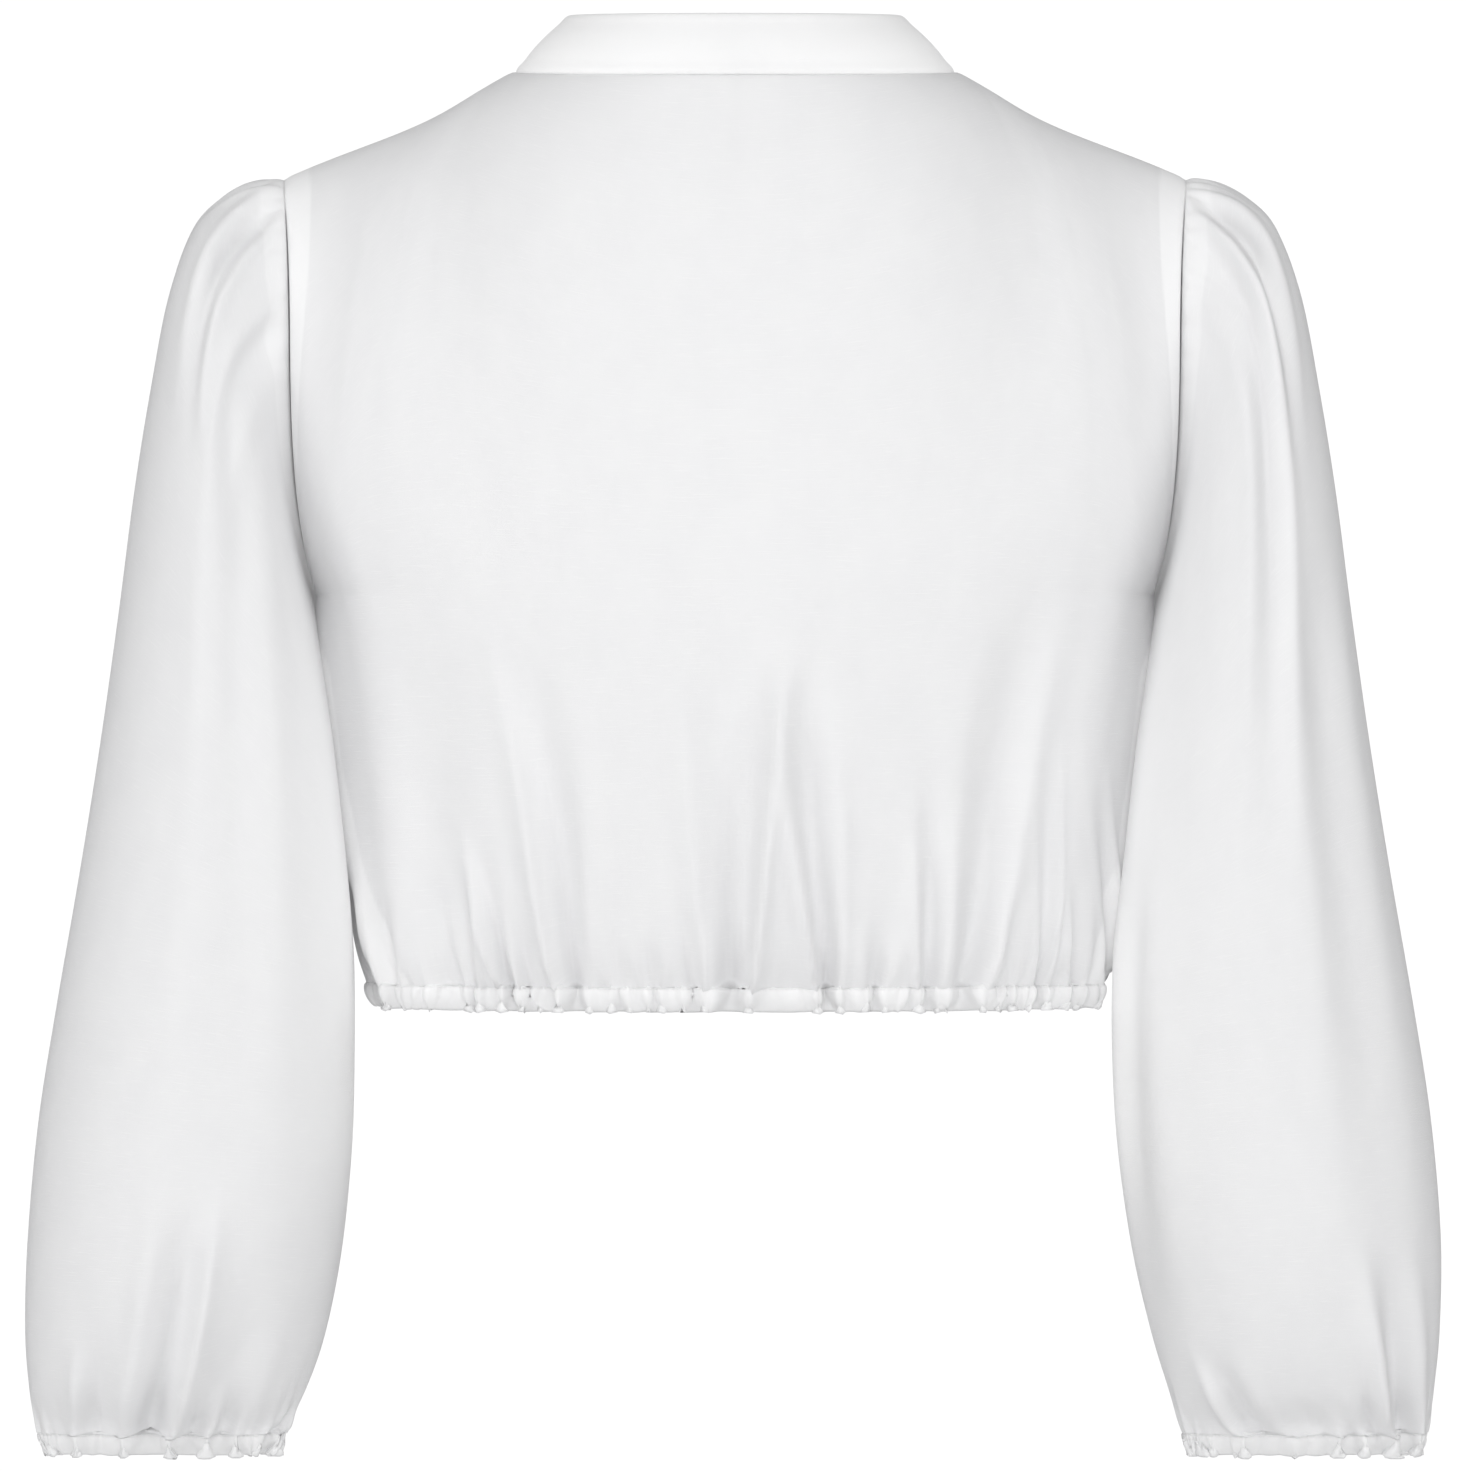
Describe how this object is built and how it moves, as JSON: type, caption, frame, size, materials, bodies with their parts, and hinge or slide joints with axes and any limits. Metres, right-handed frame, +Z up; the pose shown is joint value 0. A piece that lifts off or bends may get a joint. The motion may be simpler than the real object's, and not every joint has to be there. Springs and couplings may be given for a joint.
{
  "type": "dirndl blouse",
  "caption": "Cropped blouse with a standing collar band, long full sleeves gathered into elastic cuffs and an elastic hem, held in its worn form.",
  "frame": {"origin": "midway between the shoulder seams, level with their neck ends, where the blouse hangs on its wearer", "axes": "+Z up along the wearer, -Y towards the wearer's front, +X towards the wearer's left sleeve"},
  "size_m": [0.6069, 0.2329, 0.6211],
  "materials": {
    "back": "matt plain weave",
    "front": "matt plain weave",
    "sleeve_left": "matt plain weave",
    "sleeve_right": "matt plain weave",
    "collar_band": "matt plain weave",
    "hem_casing": "matt plain weave",
    "cuff_casing_left": "matt plain weave",
    "cuff_casing_right": "matt plain weave"
  },
  "bodies": {
    "root": {"back": "back", "front": "front", "sleeve_left": "sleeve_left", "sleeve_right": "sleeve_right", "collar_band": "collar_band", "hem_casing": "hem_casing", "cuff_casing_left": "cuff_casing_left", "cuff_casing_right": "cuff_casing_right"}
  },
  "joints": []
}
